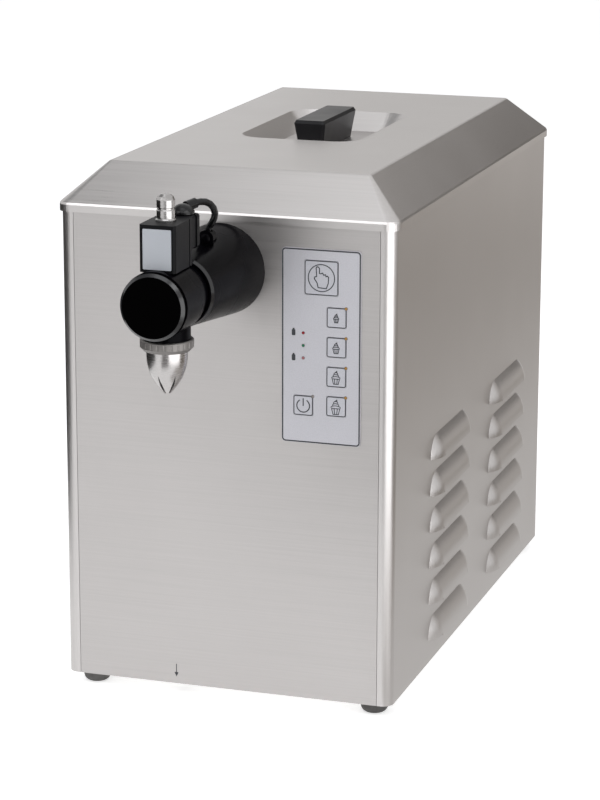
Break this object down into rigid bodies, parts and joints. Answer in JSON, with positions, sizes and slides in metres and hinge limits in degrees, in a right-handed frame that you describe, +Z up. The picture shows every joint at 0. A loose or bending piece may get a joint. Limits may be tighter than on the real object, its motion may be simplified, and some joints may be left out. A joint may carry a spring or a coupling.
{
  "type": "cream whipper machine",
  "caption": "Counter-top cream whipper: bevelled steel casing with lift-off lid, cooled well and gear pump, insulated head with solenoid valve and star nozzle, membrane keypad.",
  "frame": {"origin": "Middle of the footprint at floor level, under the middle of the bounding box.", "axes": "+X to the machine's right as its user faces it, +Y from the front to the back, +Z up. The nozzle and keypad face -Y."},
  "size_m": [0.264, 0.592, 0.4],
  "materials": {
    "casing_steel": "satin stainless sheet with fine brushing",
    "bright_steel": "machined stainless steel",
    "nozzle_chrome": "polished",
    "head_black": "satin black moulded plastic",
    "coil_black": "fine grained black moulding",
    "grip_black": "matt black moulding",
    "foot_rubber": "matt rubber",
    "cable_black": "smooth cable sheath",
    "foam": "cut foam",
    "copper_pipe": "bare copper",
    "pad_film": "fine textured printed film",
    "lamp": "clear lens",
    "board": "lacquered board",
    "black_metal": "satin black paint",
    "cast_metal": "plain cast and rolled metal",
    "fan_black": "matt moulding"
  },
  "bodies": {
    "machine": {"front_panel": "casing_steel", "left_side_panel": "casing_steel", "right_side_panel": "casing_steel", "back_panel": "casing_steel", "base_tray": "casing_steel", "top_deck": "casing_steel", "feet": "foot_rubber", "casing_screws": "bright_steel", "cold_well": "bright_steel", "well_insulation": "foam", "evaporator_coil": "copper_pipe", "pump_pedestal": "bright_steel", "pump_body": "bright_steel", "pump_cover": "bright_steel", "suction_tube": "bright_steel", "gear_motor": "cast_metal", "head_sleeve": "head_black", "labyrinth_tube": "bright_steel", "labyrinth_insert": "bright_steel", "valve_body": "head_black", "front_cap": "head_black", "armature_tube": "bright_steel", "coil_block": "coil_black", "coil_nut": "bright_steel", "coil_plug": "coil_black", "plug_gland": "coil_black", "head_cable": "cable_black", "cable_clamp": "head_black", "keypad_frame": "pad_film", "keypad_lamps": "lamp", "control_board": "board", "compressor": "black_metal", "condenser": "cast_metal", "fan_frame": "fan_black", "refrigerant_pipes": "copper_pipe", "power_supply": "cast_metal", "mains_inlet": "coil_black"},
    "lid": {"lid_shell": "casing_steel", "lid_insulation": "foam", "lid_liner": "casing_steel", "lid_seal": "foot_rubber", "lid_grip": "grip_black"},
    "container": {"cream_container": "bright_steel"},
    "cover": {"container_cover": "head_black"},
    "drive": {"drive_gear": "bright_steel", "drive_shaft": "bright_steel"},
    "idler": {"idler_gear": "bright_steel"},
    "air_adjuster": {"air_screw": "bright_steel"},
    "fan": {"fan_rotor": "fan_black"},
    "valve_plunger": {"plunger": "bright_steel", "plunger_spring": "bright_steel"},
    "nozzle": {"nozzle_ring": "bright_steel", "star_nozzle": "nozzle_chrome"},
    "hand_button": {"hand_key": "pad_film"},
    "small_portion_button": {"portion_key_small": "pad_film"},
    "medium_portion_button": {"portion_key_medium": "pad_film"},
    "large_portion_button": {"portion_key_large": "pad_film"},
    "extra_portion_button": {"portion_key_extra": "pad_film"},
    "power_button": {"power_key": "pad_film"},
    "rinse_switch": {"rinse_button": "head_black"}
  },
  "joints": [
    {"name": "lid_lift", "type": "slide", "parent": "machine", "child": "lid", "axis": [0, 0, 1], "range_m": [0, 0.12]},
    {"name": "container_lift", "type": "slide", "parent": "machine", "child": "container", "axis": [0, 0, 1], "range_m": [0, 0.004]},
    {"name": "cover_lift", "type": "slide", "parent": "container", "child": "cover", "axis": [0, 0, 1], "range_m": [0, 0.009]},
    {"name": "drive_spin", "type": "hinge", "parent": "machine", "child": "drive", "pos_m": [0.009, -0.103, 0.323], "axis": [0, 0, 1], "continuous": true},
    {"name": "idler_spin", "type": "hinge", "parent": "machine", "child": "idler", "pos_m": [-0.015, -0.103, 0.323], "axis": [0, 0, 1], "continuous": true},
    {"name": "air_screw_turn", "type": "hinge", "parent": "machine", "child": "air_adjuster", "pos_m": [-0.021, -0.093, 0.347], "axis": [0, 0, 1], "range_deg": [-180, 180]},
    {"name": "fan_spin", "type": "hinge", "parent": "machine", "child": "fan", "pos_m": [0.045, 0.079, 0.0772], "axis": [1, 0, 0], "continuous": true},
    {"name": "plunger_lift", "type": "slide", "parent": "machine", "child": "valve_plunger", "axis": [0, 0, 1], "range_m": [0, 0.004], "stiffness_N_per_m": 250, "springref_m": -0.004, "deforming": ["plunger_spring"]},
    {"name": "nozzle_turn", "type": "hinge", "parent": "machine", "child": "nozzle", "pos_m": [-0.003, -0.267, 0.288], "axis": [0, 0, 1], "range_deg": [0, 90]},
    {"name": "hand_key_press", "type": "slide", "parent": "machine", "child": "hand_button", "axis": [0, 1, 0], "range_m": [0, 0.0004], "stiffness_N_per_m": 1500},
    {"name": "small_portion_press", "type": "slide", "parent": "machine", "child": "small_portion_button", "axis": [0, 1, 0], "range_m": [0, 0.0004], "stiffness_N_per_m": 1500},
    {"name": "medium_portion_press", "type": "slide", "parent": "machine", "child": "medium_portion_button", "axis": [0, 1, 0], "range_m": [0, 0.0004], "stiffness_N_per_m": 1500},
    {"name": "large_portion_press", "type": "slide", "parent": "machine", "child": "large_portion_button", "axis": [0, 1, 0], "range_m": [0, 0.0004], "stiffness_N_per_m": 1500},
    {"name": "extra_portion_press", "type": "slide", "parent": "machine", "child": "extra_portion_button", "axis": [0, 1, 0], "range_m": [0, 0.0004], "stiffness_N_per_m": 1500},
    {"name": "power_key_press", "type": "slide", "parent": "machine", "child": "power_button", "axis": [0, 1, 0], "range_m": [0, 0.0004], "stiffness_N_per_m": 1500},
    {"name": "rinse_button_push", "type": "slide", "parent": "machine", "child": "rinse_switch", "axis": [0, 0, 1], "range_m": [0, 0.0025], "stiffness_N_per_m": 250, "springref_m": -0.001}
  ],
  "couplings": [
    {"joint": "idler_spin", "follows": "drive_spin", "ratio": -1}
  ]
}
